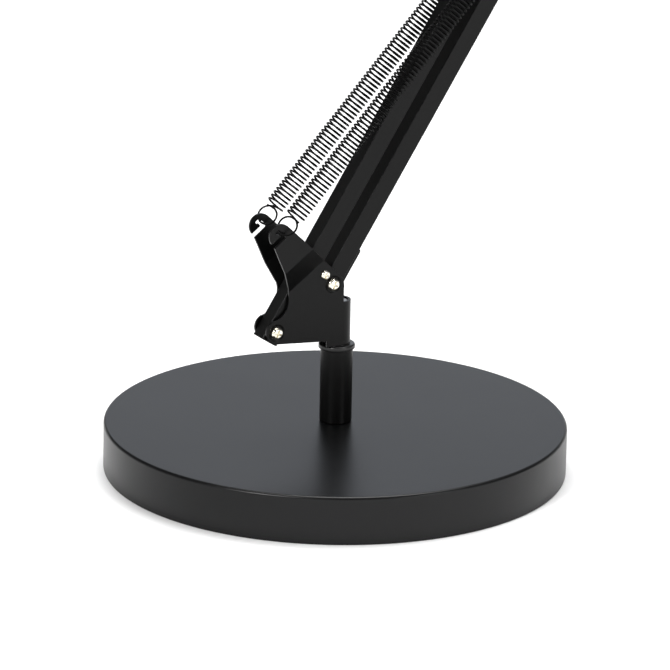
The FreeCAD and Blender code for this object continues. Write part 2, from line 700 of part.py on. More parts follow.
def shade():
    """Spun bell: flange and neck inside the cap's mouth, rounded shoulder, flared skirt, rolled rim."""
    x, _, cap_top = shade_frame()
    top = cap_top - CAP_H + SHADE_OVERLAP
    low = top - SHADE_H
    neck_r = SHADE_NECK_R - 0.4
    neck_top = FreeCAD.Vector(neck_r, 0, top)
    neck_low = FreeCAD.Vector(neck_r, 0, top - SHADE_NECK_H)
    shoulder = FreeCAD.Vector(SHADE_SHOULDER_R, 0, top - SHADE_SHOULDER_DROP)
    rim = FreeCAD.Vector(SHADE_R, 0, low)
    neck = Part.makeLine(neck_top, neck_low)
    curve = tangent_arc(neck_low, shoulder, (rim - shoulder).normalize())
    skirt = Part.makeLine(shoulder, rim)
    outer = Part.Wire([neck, curve, skirt])
    shift = FreeCAD.Vector(-SHADE_WALL, 0, -SHADE_WALL * 0.6)
    inner = outer.copy()
    inner.translate(shift)
    closing = [Part.makeLine(rim, rim + shift), Part.makeLine(neck_top + shift, neck_top)]
    section = Part.Face(Part.Wire(Part.__sortEdges__(outer.Edges + inner.Edges + closing)))
    bell = section.revolve(FreeCAD.Vector(0, 0, 0), Z_AXIS, 360)
    if bell.Volume < 0:
        bell.reverse()
    roll = Part.makeTorus(SHADE_R - 0.5, ROLL_R, FreeCAD.Vector(0, 0, low - 0.3), Z_AXIS)
    flange = upright(neck_r, top - SHADE_WALL, top).cut(upright(HOLDER_R + AIR, top - SHADE_WALL, top))
    bell = bell.fuse([roll, flange])
    bell.translate(FreeCAD.Vector(x, 0, 0))
    return one(bell)


def lampholder():
    """Screw lampholder hung from the cap's inside top; its collar sits on the shade's flange."""
    x, _, top = shade_frame()
    ceiling = top - CAP_WALL
    seat = top - CAP_H + SHADE_OVERLAP
    stem = upright(7.0, ceiling - HOLDER_DROP, ceiling, x)
    body = upright(HOLDER_R, ceiling - HOLDER_DROP - HOLDER_H, ceiling - HOLDER_DROP, x)
    body = rounded(body, 3.0, lambda e: e.BoundBox.ZMin > ceiling - HOLDER_DROP - 0.1)
    collar = upright(HOLDER_R + COLLAR_OUT, seat, seat + 3.0, x)
    socket = upright(SOCKET_R, ceiling - HOLDER_DROP - HOLDER_H - 1, ceiling - SOCKET_DROP, x)
    return one(stem.fuse([body, collar]).cut(socket))


def holder_ring():
    """Threaded ring that grips the shade's flange against the lampholder's collar."""
    x, _, top = shade_frame()
    z = top - CAP_H + SHADE_OVERLAP - SHADE_WALL - RING_H
    ring = upright(RING_R, z, z + RING_H, x).cut(upright(HOLDER_R, z, z + RING_H, x))
    for index in range(12):
        turn = math.radians(30 * index)
        notch = Part.makeBox(3, 3, RING_H + 2, FreeCAD.Vector(x + (RING_R - 0.6) * math.cos(turn) - 1.5,
                                                             (RING_R - 0.6) * math.sin(turn) - 1.5, z - 1))
        ring = ring.cut(notch)
    return one(ring)


def holder_contact():
    """Spring brass centre contact inside the lampholder."""
    x, _, top = shade_frame()
    z = top - CAP_WALL - SOCKET_DROP
    return one(upright(3.0, z - CONTACT_T, z, x))


def bulb_cap():
    """Screw cap of the bulb with its rolled thread and centre button."""
    x, _, top = shade_frame()
    z = top - CAP_WALL - SOCKET_DROP - CONTACT_T
    core = upright(12.2, z - BULB_CAP_H, z - 4, x)
    rows = [FreeCAD.Vector(x, 0, z - 8 - THREAD_PITCH * i) for i in range(4)]
    threads = [Part.makeTorus(12.4, 1.1, row, Z_AXIS) for row in rows]
    button = Part.makeCone(10.0, 4.0, 4.0, FreeCAD.Vector(x, 0, z - 4), Z_AXIS)
    return one(core.fuse(threads + [button]))


def bulb_globe():
    """Globe of the bulb: a neck that swells into a round opal globe."""
    x, _, top = shade_frame()
    z = top - CAP_WALL - SOCKET_DROP - CONTACT_T - BULB_CAP_H
    globe = Part.makeSphere(BULB_R, FreeCAD.Vector(x, 0, z - BULB_DROP))
    neck = upright(BULB_NECK_R, z - BULB_NECK_H, z, x)
    neck_foot = FreeCAD.Vector(x, 0, z - BULB_NECK_H)
    flare = Part.makeCone(BULB_NECK_R, BULB_NECK_R + 10.5, 20.0, neck_foot, -Z_AXIS)
    return one(globe.fuse([neck, flare]))


def switch_body():
    """Push switch behind the button, on the inside of the cap's far wall."""
    x, _, top = shade_frame()
    outer = rod(BUTTON_R + 2.2, (x, top - SWITCH_DROP), CAP_R - 12, CAP_R - 2.6)
    inner = rod(BUTTON_R + AIR, (x, top - SWITCH_DROP), CAP_R - 9, CAP_R)
    return one(outer.cut(inner))


def switch_button():
    """Push button that stands out of the cap's far wall."""
    x, _, top = shade_frame()
    start = CAP_R - 9 + BUTTON_TRAVEL + AIR
    button = rod(BUTTON_R, (x, top - SWITCH_DROP), start, start + BUTTON_H + 5)
    return one(rounded(button, 1.2, lambda e: e.BoundBox.YMin > start + BUTTON_H + 4.9))


def cord_gland():
    """Moulded grommet in the cap's near wall, where a flex would enter."""
    x, _, top = shade_frame()
    place = (x, top - SWITCH_DROP)
    body = rod(GLAND_R, place, -CAP_R, -CAP_R + 3.4)
    flange = rod(GLAND_R + 2.0, place, -CAP_R - 2.0, -CAP_R)
    flange = rounded(flange, 0.9, lambda e: e.BoundBox.YMax < -CAP_R - 1.9)
    return one(body.fuse(flange).cut(rod(GLAND_BORE_R, place, -CAP_R - 4, -CAP_R + 4)))


def lug_screws():
    """Two short screws through the clevis foot into the cap."""
    x, _, top = shade_frame()
    made = []
    for side in (-1, 1):
        seat = top + LUG_BASE_T
        shank = upright(SMALL_SHANK_R, top - 4, seat, x + side * LUG_SCREW_X)
        head = upright(SMALL_HEAD_R, seat, seat + SMALL_HEAD_H, x + side * LUG_SCREW_X)
        head = rounded(head, 0.9, lambda e: e.BoundBox.ZMin > seat + SMALL_HEAD_H - 0.1)
        made.append(shank.fuse(head))
    return made


# ---------------------------------------------------------------- writing

def write_base():
    save("base_shell", base_shell())
    save("base_weight", base_weight())
    save("base_pad", base_pad())
    save("post_sleeve", post_sleeve())
    save("post_plug", post_plug())
    save("post_washer", post_washer())
    save("post_bolt", post_bolt())
    save("post_bush", post_bush())


def write_shoulder():
    save("swivel_pin", swivel_pin())
    save("swivel_bracket", swivel_bracket())
    pivots = (FRONT_PIVOT, REAR_PIVOT)
    seat = -CHEEK_OUT + DIMPLE_DEPTH
    far_end = CHEEK_OUT + SCREW_END
    save("shoulder_screws", group([pan_screw(p, seat, far_end) for p in pivots]))
    save("shoulder_nuts", group([lock_nut(p, CHEEK_OUT) for p in pivots]))
    save("friction_screw", pan_screw(FRICTION_SCREW_AT, -CHEEK_OUT, -CHEEK_IN,
                                     SMALL_SHANK_R, SMALL_HEAD_R, SMALL_HEAD_H))


def write_arm(name, low_pivot, high_pivot, angle, pin_on_low, anchor_at):
    """The two bars of an arm, their bushes, and the spring pin with its clips."""
    sides = (("front", low_pivot, pin_on_low), ("rear", high_pivot, not pin_on_low))
    for side, pivot, has_pin in sides:
        save("%s_%s_bar" % (name, side), square_bar(pivot, angle, anchor_at if has_pin else None))
        save("%s_%s_bushes" % (name, side), bushes(pivot, angle))
        if has_pin:
            save("%s_spring_pin" % name, anchor_pin(along(pivot, angle, anchor_at)))
            save("%s_spring_clips" % name, clips(along(pivot, angle, anchor_at)))


def write_springs(name, low_end, high_end, low_in_slot):
    for side, y in (("near", -SPRING_Y), ("far", SPRING_Y)):
        save("%s_spring_%s" % (name, side), spring_body(low_end, high_end, y, low_in_slot))


def write_elbow():
    front, rear, low, high, hook = elbow_places()
    seat = -CHEEK_OUT
    far_end = CHEEK_OUT + SCREW_END
    pivots = (front, rear, low, high)
    save("elbow_plate_near", elbow_plate(-1))
    save("elbow_plate_far", elbow_plate(1))
    save("elbow_screws", group([pan_screw(p, seat, far_end) for p in pivots]))
    save("elbow_nuts", group([lock_nut(p, CHEEK_OUT) for p in pivots]))
    save("elbow_spring_pin", anchor_pin(hook))
    save("elbow_spring_clips", clips(hook))


def write_head():
    first, second, _ = head_places()
    far_end = CHEEK_OUT + SCREW_END
    save("head_plate_near", head_plate(-1))
    save("head_plate_far", head_plate(1))
    save("head_screws", group([pan_screw(p, -CHEEK_OUT, far_end) for p in (first, second)]))
    save("head_nuts", group([lock_nut(p, CHEEK_OUT) for p in (first, second)]))
    save("head_block", head_block())
    save("block_screws", group(block_screws()))
    save("head_stem", head_stem())
    save("stem_clip", stem_clip())
    save("shade_lug", shade_lug())
    save("lug_screws", group(lug_screws()))
    save("tilt_bolt", tilt_bolt())
    save("tilt_knob", tilt_knob())


def write_shade():
    save("shade_cap", shade_cap())
    save("shade", shade())
    save("lampholder", lampholder())
    save("holder_ring", holder_ring())
    save("holder_contact", holder_contact())
    save("bulb_cap", bulb_cap())
    save("bulb_globe", bulb_globe())
    save("switch_body", switch_body())
    save("switch_button", switch_button())
    save("cord_gland", cord_gland())


def write_all():
    os.makedirs("parts", exist_ok=True)
    _, _, low, high, hook = elbow_places()
    write_base()
    write_shoulder()
    write_arm("lower", FRONT_PIVOT, REAR_PIVOT, LOWER_LEAN, True, LOWER_ANCHOR_AT)
    save("stop_plate", stop_plate())
    write_springs("lower", HOOK_SEAT, along(FRONT_PIVOT, LOWER_LEAN, LOWER_ANCHOR_AT), True)
    write_elbow()
    write_arm("upper", low, high, UPPER_LEAN, False, UPPER_ANCHOR_AT)
    write_springs("upper", hook, along(high, UPPER_LEAN, UPPER_ANCHOR_AT), False)
    write_head()
    write_shade()


write_all()
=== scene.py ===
"""Looks of the balanced-arm desk lamp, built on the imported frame. Metres, +Z up, arms in the XZ plane."""
import json
import math

import bpy
from mathutils import Matrix, Vector


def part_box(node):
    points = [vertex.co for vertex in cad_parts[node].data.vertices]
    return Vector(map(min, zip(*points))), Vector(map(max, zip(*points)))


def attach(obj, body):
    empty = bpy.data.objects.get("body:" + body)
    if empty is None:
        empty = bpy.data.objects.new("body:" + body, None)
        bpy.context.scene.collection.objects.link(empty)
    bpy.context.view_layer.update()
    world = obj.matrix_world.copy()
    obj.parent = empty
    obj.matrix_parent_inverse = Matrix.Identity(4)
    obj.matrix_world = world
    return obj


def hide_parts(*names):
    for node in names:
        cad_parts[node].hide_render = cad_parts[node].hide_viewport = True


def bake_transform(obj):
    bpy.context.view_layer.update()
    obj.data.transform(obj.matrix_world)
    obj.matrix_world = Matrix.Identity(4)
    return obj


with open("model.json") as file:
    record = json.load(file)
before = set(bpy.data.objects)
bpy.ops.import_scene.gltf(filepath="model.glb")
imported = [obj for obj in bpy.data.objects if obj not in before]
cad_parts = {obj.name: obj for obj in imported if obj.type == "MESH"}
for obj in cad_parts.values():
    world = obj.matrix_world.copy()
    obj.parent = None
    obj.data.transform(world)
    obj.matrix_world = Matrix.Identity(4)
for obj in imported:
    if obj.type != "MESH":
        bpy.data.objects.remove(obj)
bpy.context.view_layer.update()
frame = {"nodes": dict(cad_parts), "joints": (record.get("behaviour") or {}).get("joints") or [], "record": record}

MM = 0.001
TURN = 2 * math.pi
RECORD = frame["record"]
BODY_OF = {node: body for body, members in RECORD["behaviour"]["bodies"].items() for node in members}
SLOT_OF = {row["node"]: row["material_slot"] for row in RECORD["subparts"]}
JOINT = {joint["name"]: joint for joint in frame["joints"]}


# ---------------------------------------------------------------- materials

# nearly all the values of a noise texture lie between these two
NOISE_LOW = 0.3
NOISE_HIGH = 0.7


def grey(value):
    return (value, value, value)


def new_material(name):
    """An empty material with its shader and a reading of the object's own coordinates."""
    material = bpy.data.materials.new(name)
    material.use_nodes = True
    nodes = material.node_tree.nodes
    coords = nodes.new("ShaderNodeTexCoord")
    return material, nodes, material.node_tree.links, nodes["Principled BSDF"], coords.outputs["Object"]


def noise(nodes, links, where, scale, detail, roughness=0.5):
    """Noise over the surface; its features are about 1 / scale metres across."""
    texture = nodes.new("ShaderNodeTexNoise")
    texture.inputs["Scale"].default_value = scale
    texture.inputs["Detail"].default_value = detail
    texture.inputs["Roughness"].default_value = roughness
    links.new(where, texture.inputs["Vector"])
    return texture.outputs["Fac"]


def spread(nodes, links, value, low, high):
    """The noise value stretched to run from low to high."""
    node = nodes.new("ShaderNodeMapRange")
    node.inputs["From Min"].default_value = NOISE_LOW
    node.inputs["From Max"].default_value = NOISE_HIGH
    node.inputs["To Min"].default_value = low
    node.inputs["To Max"].default_value = high
    links.new(value, node.inputs["Value"])
    return node.outputs["Result"]


def shades(nodes, links, value, first, last, first_at=NOISE_LOW, last_at=NOISE_HIGH):
    """A colour that drifts from the first shade to the last as the value goes from first_at to last_at."""
    ramp = nodes.new("ShaderNodeValToRGB")
    ramp.color_ramp.elements[0].position = first_at
    ramp.color_ramp.elements[1].position = last_at
    ramp.color_ramp.elements[0].color = (*first, 1)
    ramp.color_ramp.elements[1].color = (*last, 1)
    links.new(value, ramp.inputs["Fac"])
    return ramp.outputs["Color"]


def bump(nodes, links, shader, height, depth, strength, under=None):
    """Bumps of a depth in metres, laid over those already there; gives the shader the bumped normal."""
    node = nodes.new("ShaderNodeBump")
    node.inputs["Distance"].default_value = depth
    node.inputs["Strength"].default_value = strength
    links.new(height, node.inputs["Height"])
    if under is not None:
        links.new(under, node.inputs["Normal"])
    links.new(node.outputs["Normal"], shader.inputs["Normal"])
    return node.outputs["Normal"]


def powder_coat(name, dark, light, rough, gloss, peel_depth, peel_scale=900, drift=0.03):
    """Baked powder: a slight orange peel, a finer grain, and patches a touch glossier than others."""
    material, nodes, links, shader, where = new_material(name)
    grain_scale = peel_scale * 4.5
    grain_depth = peel_depth * 0.3
    peel = noise(nodes, links, where, peel_scale, detail=2.0)
    grain = noise(nodes, links, where, grain_scale, detail=3.0)
    patch = noise(nodes, links, where, scale=28, detail=3.0)
    links.new(shades(nodes, links, patch, dark, light), shader.inputs["Base Color"])
    links.new(spread(nodes, links, patch, rough - drift, rough + drift), shader.inputs["Roughness"])
    shader.inputs["Specular IOR Level"].default_value = gloss
    peeled = bump(nodes, links, shader, peel, peel_depth, strength=0.5)
    bump(nodes, links, shader, grain, grain_depth, strength=0.35, under=peeled)
    return material


def bright_plate(name, dark, light, rough):
    """Zinc or nickel plate: soft brushing, faint stains, tiny handling marks."""
    material, nodes, links, shader, where = new_material(name)
    shader.inputs["Metallic"].default_value = 1.0
    duller, shinier = 0.09, 0.07
    stain = noise(nodes, links, where, scale=420, detail=4.0)
    marks = noise(nodes, links, where, scale=5200, detail=2.0)
    links.new(shades(nodes, links, stain, dark, light), shader.inputs["Base Color"])
    links.new(spread(nodes, links, stain, rough - shinier, rough + duller), shader.inputs["Roughness"])
    bump(nodes, links, shader, marks, depth=0.00002, strength=0.35)
    return material


def spring_wire():
    """Drawn wire, blackened: nearly black, with a low oily shine."""
    material, nodes, links, shader, where = new_material("spring_wire_black")
    shader.inputs["Specular IOR Level"].default_value = 0.05
    drawn = noise(nodes, links, where, scale=1500, detail=3.0)
    links.new(shades(nodes, links, drawn, grey(0.0012), grey(0.003)), shader.inputs["Base Color"])
    links.new(spread(nodes, links, drawn, low=0.3, high=0.46), shader.inputs["Roughness"])
    bump(nodes, links, shader, drawn, depth=0.00002, strength=0.3)
    return material


def moulded(name, dark, light, rough):
    """Moulded plastic or nylon with a fine spark-eroded grain."""
    material, nodes, links, shader, where = new_material(name)
    drift = 0.05
    grain = noise(nodes, links, where, scale=2600, detail=2.0)
    patch = noise(nodes, links, where, scale=60, detail=2.0)
    links.new(shades(nodes, links, patch, dark, light), shader.inputs["Base Color"])
    links.new(spread(nodes, links, patch, rough - drift, rough + drift), shader.inputs["Roughness"])
    bump(nodes, links, shader, grain, depth=0.00004, strength=0.45)
    return material


def rough_iron():
    """Sand-cast iron, unpainted."""
    material, nodes, links, shader, where = new_material("cast_iron_rough")
    shader.inputs["Metallic"].default_value = 0.6
    dark, light = (0.05, 0.048, 0.045), (0.13, 0.125, 0.12)
    sand = noise(nodes, links, where, scale=700, detail=6.0, roughness=0.65)
    links.new(shades(nodes, links, sand, dark, light), shader.inputs["Base Color"])
    links.new(spread(nodes, links, sand, low=0.6, high=0.85), shader.inputs["Roughness"])
    bump(nodes, links, shader, sand, depth=0.0004, strength=0.7)
    return material


def foam():
    """Closed-cell foam: small cells all over."""
    material, nodes, links, shader, where = new_material("foam_pad")
    shader.inputs["Roughness"].default_value = 0.9
    cells = nodes.new("ShaderNodeTexVoronoi")
    cells.inputs["Scale"].default_value = 1400
    links.new(where, cells.inputs["Vector"])
    depth_in_cell = cells.outputs["Distance"]
    links.new(shades(nodes, links, depth_in_cell, grey(0.02), grey(0.05)), shader.inputs["Base Color"])
    bump(nodes, links, shader, depth_in_cell, depth=0.0002, strength=0.6)
    return material


def opal_plastic():
    """Opal globe: milky white, light soaking a little way in, faintly glossy."""
    material, nodes, links, shader, where = new_material("bulb_opal")
    shader.inputs["Subsurface Weight"].default_value = 0.3
    shader.inputs["Subsurface Radius"].default_value = grey(0.004)
    dark, light = (0.84, 0.84, 0.81), (0.92, 0.92, 0.9)
    cloud = noise(nodes, links, where, scale=90, detail=3.0)
    links.new(shades(nodes, links, cloud, dark, light), shader.inputs["Base Color"])
    links.new(spread(nodes, links, cloud, low=0.26, high=0.36), shader.inputs["Roughness"])
    bump(nodes, links, shader, cloud, depth=0.0001, strength=0.2)
    return material


def enamel_white():
    """White enamel inside the shade, a little uneven from the spray."""
    material, nodes, links, shader, where = new_material("enamel_white")
    dark, light = (0.78, 0.78, 0.76), (0.86, 0.86, 0.84)
    mist = noise(nodes, links, where, scale=500, detail=3.0)
    links.new(shades(nodes, links, mist, dark, light), shader.inputs["Base Color"])
    links.new(spread(nodes, links, mist, low=0.42, high=0.55), shader.inputs["Roughness"])
    bump(nodes, links, shader, mist, depth=0.00006, strength=0.4)
    return material


FINISH = {
    "powder_black": powder_coat("powder_black", grey(0.0014), grey(0.0026),
                                rough=0.3, gloss=0.17, peel_depth=0.00004, peel_scale=1500, drift=0.02),
    "base_black": powder_coat("base_black", (0.0018, 0.0018, 0.002), (0.0028, 0.0028, 0.0032),
                              rough=0.34, gloss=0.26, peel_depth=0.00003, peel_scale=1300, drift=0.008),
    "bright_zinc": bright_plate("bright_zinc", (0.74, 0.68, 0.52), (0.95, 0.93, 0.86), rough=0.17),
    "spring_black": spring_wire(),
    "plain_steel": bright_plate("plain_steel", grey(0.36), (0.52, 0.52, 0.53), rough=0.38),
    "cast_iron": rough_iron(),
    "zinc_block": powder_coat("zinc_block", grey(0.006), grey(0.01),
                              rough=0.45, gloss=0.25, peel_depth=0.00005),
    "nylon": moulded("nylon_black", grey(0.005), grey(0.009), rough=0.3),
    "foam": foam(),
    "black_plastic": moulded("plastic_black", grey(0.008), grey(0.013), rough=0.4),
    "shade_paint": powder_coat("shade_black", grey(0.004), grey(0.006),
                               rough=0.33, gloss=0.3, peel_depth=0.00004, peel_scale=1200),
    "holder": moulded("holder_white", (0.7, 0.69, 0.65), (0.8, 0.79, 0.75), rough=0.4),
    "brass": bright_plate("brass_plain", (0.66, 0.48, 0.2), (0.84, 0.66, 0.34), rough=0.3),
    "bulb_opal": opal_plastic(),
}
ENAMEL = enamel_white()


def paint(piece, material):
    piece.data.materials.clear()
    piece.data.materials.append(material)


# ---------------------------------------------------------------- modelling helpers

# an edge that turns by more than this many degrees is eased, and the shading keeps it as an edge
SHARP = 35.0
EDGE_SEGMENTS = 2


def clear_selection():
    if bpy.context.mode != "OBJECT":
        bpy.ops.object.mode_set(mode="OBJECT")
    bpy.ops.object.select_all(action="DESELECT")


def take(piece):
    """Makes the piece the only selected and active one."""
    clear_selection()
    piece.select_set(True)
    bpy.context.view_layer.objects.active = piece


def settle(piece):
    """Puts the piece's place, turn and size into its mesh."""
    take(piece)
    bpy.ops.object.transform_apply(location=True, rotation=True, scale=True)


def bevel_edges(piece, width):
    take(piece)
    modifier = piece.modifiers.new("edge", "BEVEL")
    modifier.width = width
    modifier.segments = EDGE_SEGMENTS
    modifier.limit_method = "ANGLE"
    modifier.angle_limit = math.radians(SHARP)
    modifier.use_clamp_overlap = True
    modifier.miter_outer = "MITER_ARC"
    bpy.ops.object.modifier_apply(modifier=modifier.name)


def smooth(piece, sharp=SHARP):
    """Smooth shading over rounded edges, with flat faces kept flat up to their edges."""
    take(piece)
    bpy.ops.object.shade_smooth_by_angle(angle=math.radians(sharp))
    modifier = piece.modifiers.new("flat_faces", "WEIGHTED_NORMAL")
    modifier.weight = 100
    modifier.keep_sharp = True
    bpy.ops.object.modifier_apply(modifier=modifier.name)


def seat(piece, node):
    """The piece rides where its CAD node does, stands for it, and takes its finish."""
    if not piece.data.materials:
        paint(piece, FINISH[SLOT_OF[node]])
    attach(piece, BODY_OF[node])
    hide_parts(node)


def refined(node, bevel):
    """A merged copy of a CAD piece with its facets joined, its edges eased and its curves smooth."""
    touching = 0.000002
    flat = 0.5
    source = frame["nodes"][node]
    piece = bpy.data.objects.new(node + "_finished", source.data.copy())
    bpy.context.scene.collection.objects.link(piece)
    paint(piece, FINISH[SLOT_OF[node]])
    take(piece)
    bpy.ops.object.mode_set(mode="EDIT")
    bpy.ops.mesh.select_all(action="SELECT")
    bpy.ops.mesh.remove_doubles(threshold=touching)
    bpy.ops.mesh.dissolve_limited(angle_limit=math.radians(flat))
    bpy.ops.object.mode_set(mode="OBJECT")
    if bevel:
        bevel_edges(piece, bevel)
    smooth(piece)
    seat(piece, node)


def close_outline(piece):
    """Joins the two ends of a drawn line."""
    bpy.ops.mesh.select_all(action="DESELECT")
    bpy.ops.object.mode_set(mode="OBJECT")
    met = [index for edge in piece.data.edges for index in edge.vertices]
    for index in set(met):
        if met.count(index) == 1:
            piece.data.vertices[index].select = True
    bpy.ops.object.mode_set(mode="EDIT")
    bpy.ops.mesh.edge_face_add()


def lathe(name, profile, steps, closed, axis_x=0.0):
    """A turned piece: a line of (radius, height) points, drawn by extrusion, is spun about an upright axis.

    A closed piece is a ring in section; an open one starts and ends on the axis.
    """
    touching = 0.000004
    clear_selection()
    bpy.ops.mesh.primitive_plane_add(size=MM, location=(axis_x + profile[0][0], 0, profile[0][1]))
    piece = bpy.context.object
    piece.name = name
    settle(piece)
    bpy.ops.object.mode_set(mode="EDIT")
    bpy.ops.mesh.select_all(action="SELECT")
    bpy.ops.mesh.merge(type="CENTER")
    for before, after in zip(profile, profile[1:]):
        step = (after[0] - before[0], 0, after[1] - before[1])
        bpy.ops.mesh.extrude_region_move(TRANSFORM_OT_translate={"value": step})
    if closed:
        close_outline(piece)
    bpy.ops.mesh.select_all(action="SELECT")
    bpy.ops.mesh.spin(steps=steps, angle=TURN, center=(axis_x, 0, 0), axis=(0, 0, 1))
    bpy.ops.mesh.select_all(action="SELECT")
    bpy.ops.mesh.remove_doubles(threshold=touching)
    bpy.ops.mesh.normals_make_consistent(inside=False)
    bpy.ops.object.mode_set(mode="OBJECT")
    return piece


def arc(centre, radius, start, end, count):
    """Points of an arc in (radius, height), from one angle to another in degrees."""
    turns = [math.radians(start + (end - start) * i / count) for i in range(count + 1)]
    return [(centre[0] + radius * math.cos(t), centre[1] + radius * math.sin(t)) for t in turns]


# ---------------------------------------------------------------- base and post

def make_base_shell():
    """Spun cover: a flat top, a crisp eased rim, a straight side and a turned-in lip."""
    low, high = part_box("base_shell")
    radius, top = high.x, high.z
    wall = 1.6 * MM
    rim = 1.5 * MM
    lip = 0.8 * MM
    outside = [(0, top), (radius * 0.5, top), (radius * 0.93, top)]
    outside += arc((radius - rim, top - rim), rim, 90, 0, 8)
    outside += arc((radius - lip, low.z + lip), lip, 0, -90, 4)
    inside = [(radius - wall, low.z), (radius - wall, top - wall), (0, top - wall)]
    piece = lathe("base_shell_spun", outside + inside, steps=256, closed=False)
    smooth(piece, sharp=40)
    seat(piece, "base_shell")


def make_post_sleeve():
    """Tube with a rolled foot and a mouth with its edge taken off."""
    low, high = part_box("post_sleeve")
    radius = high.x
    wall = 1.5 * MM
    foot = 0.7 * MM
    edge = 0.3 * MM
    profile = arc((radius - foot, low.z + foot), foot, -90, 0, 4)
    profile += [(radius, high.z - edge), (radius - edge, high.z)]
    profile += [(radius - wall, high.z), (radius - wall, low.z)]
    piece = lathe("post_sleeve_tube", profile, steps=96, closed=True)
    smooth(piece, sharp=40)
    seat(piece, "post_sleeve")


def make_post_bush():
    """Flanged bush with a full-round rim and a small step under the flange."""
    low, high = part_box("post_bush")
    radius = high.x
    thick = 2.5 * MM
    spigot = 6.5 * MM
    bore = 5.05 * MM
    curve = 1.0 * MM
    under_curve = 0.5 * MM
    mouth_wide = 0.6 * MM
    mouth_deep = 0.5 * MM
    under = high.z - thick
    profile = [(bore, low.z), (spigot, low.z), (spigot, under), (radius - under_curve, under)]
    profile += arc((radius - under_curve, under + under_curve), under_curve, -90, 0, 3)
    profile += arc((radius - curve, high.z - curve), curve, 0, 90, 6)
    profile += [(bore + mouth_wide, high.z), (bore, high.z - mouth_deep)]
    piece = lathe("post_bush_moulded", profile, steps=96, closed=True)
    smooth(piece, sharp=40)
    seat(piece, "post_bush")


# ---------------------------------------------------------------- springs

WIRE = 0.5 * MM
LOOP = 4.7 * MM
COIL = 4.67 * MM
COIL_PITCH = 2.13 * MM
LOOP_TO_COIL = 6.0 * MM
LOOP_STEP = 12
COIL_STEP = 24
# where the loop starts and ends, in degrees from the point of it farthest from the coil
LOOP_FIRST = -180
LOOP_LAST = 150
# from a spring's end on a pin to the centre of its loop, which hangs on the pin with a hair of air
PIN = 2.02 * MM
ON_PIN = LOOP - WIRE - PIN
# how far a lower loop on its hook is turned towards the near side
LOOP_TURN = math.radians(33)
# how the wire's cut end leans on the loop, and how it crosses from the loop to the coil:
# across the loop, beside it, and along the coil, in millimetres from the loop's centre
CUT_END = ((3.9, -0.5, 4.3), (2.2, -0.5, 4.65))
CROSSING = ((1.0, 0.9, 4.95), (-0.8, 1.4, 5.4), (-2.7, 1.8, 5.7), (-4.1, 1.25, 5.85))


def spring_end(centre, axis, side, square):
    """One end of the wire: a loop in the plane of axis and side, then across into the coil's first turn.

    The points run from the wire's cut end; axis points from the loop to the coil. The loop climbs by one
    thickness of wire, so that its two ends pass each other at the top.
    """
    def place(across, beside, along):
        return centre + (side * across + square * beside + axis * along) * MM

    points = [place(*stub) for stub in CUT_END]
    for degrees in range(LOOP_FIRST, LOOP_LAST + 1, LOOP_STEP):
        t = math.radians(degrees)
        climb = WIRE * (2 * (degrees - LOOP_FIRST) / (LOOP_LAST - LOOP_FIRST) - 1)
        points.append(centre + (side * math.sin(t) - axis * math.cos(t)) * LOOP + square * climb)
    points += [place(*bend) for bend in CROSSING]
    return points + [centre - side * COIL + axis * LOOP_TO_COIL]


def spring_line(low_end, high_end, low_plane, high_plane):
    """The centre line of a spring's wire: a loop, the coil's turns, and a loop.

    Each plane is (distance of the loop's centre from the end, the direction of the loop's width).
    """
    axis = (high_end - low_end).normalized()
    low_at, low_side = low_plane
    high_at, high_side = high_plane
    square = axis.cross(low_side).normalized()
    low_centre = low_end + axis * low_at
    high_centre = high_end - axis * high_at
    first = spring_end(low_centre, axis, low_side, square)
    last = spring_end(high_centre, -axis, high_side, (-axis).cross(high_side).normalized())
    coil_length = (high_centre - low_centre).length - 2 * LOOP_TO_COIL
    from_turn = math.pi
    end_point = last[-1] - high_centre
    to_turn = math.atan2(end_point.dot(square), end_point.dot(low_side))
    turns = round(coil_length / COIL_PITCH)
    sweep = turns * TURN + (to_turn - from_turn) % TURN
    steps = int(sweep / math.radians(COIL_STEP))
    coil = []
    for index in range(1, steps):
        share = index / steps
        t = from_turn + sweep * share
        coil.append(low_centre + axis * (LOOP_TO_COIL + coil_length * share)
                    + (low_side * math.cos(t) + square * math.sin(t)) * COIL)
    return first + coil + last[::-1]


def wound_spring(name, low_end, high_end, low_plane, high_plane):
    """A wound wire spring: a smooth curve through its line, given its wire's thickness, then made a mesh."""
    line = spring_line(low_end, high_end, low_plane, high_plane)
    clear_selection()
    bpy.ops.curve.primitive_nurbs_path_add()
    wire = bpy.context.object
    wire.name = name
    curve = wire.data
    curve.splines.clear()
    spline = curve.splines.new("NURBS")
    spline.points.add(len(line) - 1)
    for place, point in zip(line, spline.points):
        point.co = (*place, 1)
        point.radius = 1.0
    spline.order_u = 3
    spline.use_endpoint_u = True
    spline.resolution_u = 1
    curve.dimensions = "3D"
    curve.bevel_depth = WIRE
    curve.bevel_resolution = 2
    curve.use_fill_caps = True
    take(wire)
    bpy.ops.object.convert(target="MESH")
    settle(wire)
    bpy.ops.object.shade_smooth()
    return wire


def middle(node):
    low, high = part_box(node)
    return (low + high) / 2


def spring_between(node, hook, pin, low_plane, high_plane):
    """The wound spring of a CAD node, from hook to pin in the node's own upright plane."""
    y = middle(node).y
    low_end = Vector((hook.x, y, hook.z))
    high_end = Vector((pin.x, y, pin.z))
    return wound_spring(node + "_wound", low_end, high_end, low_plane, high_plane)


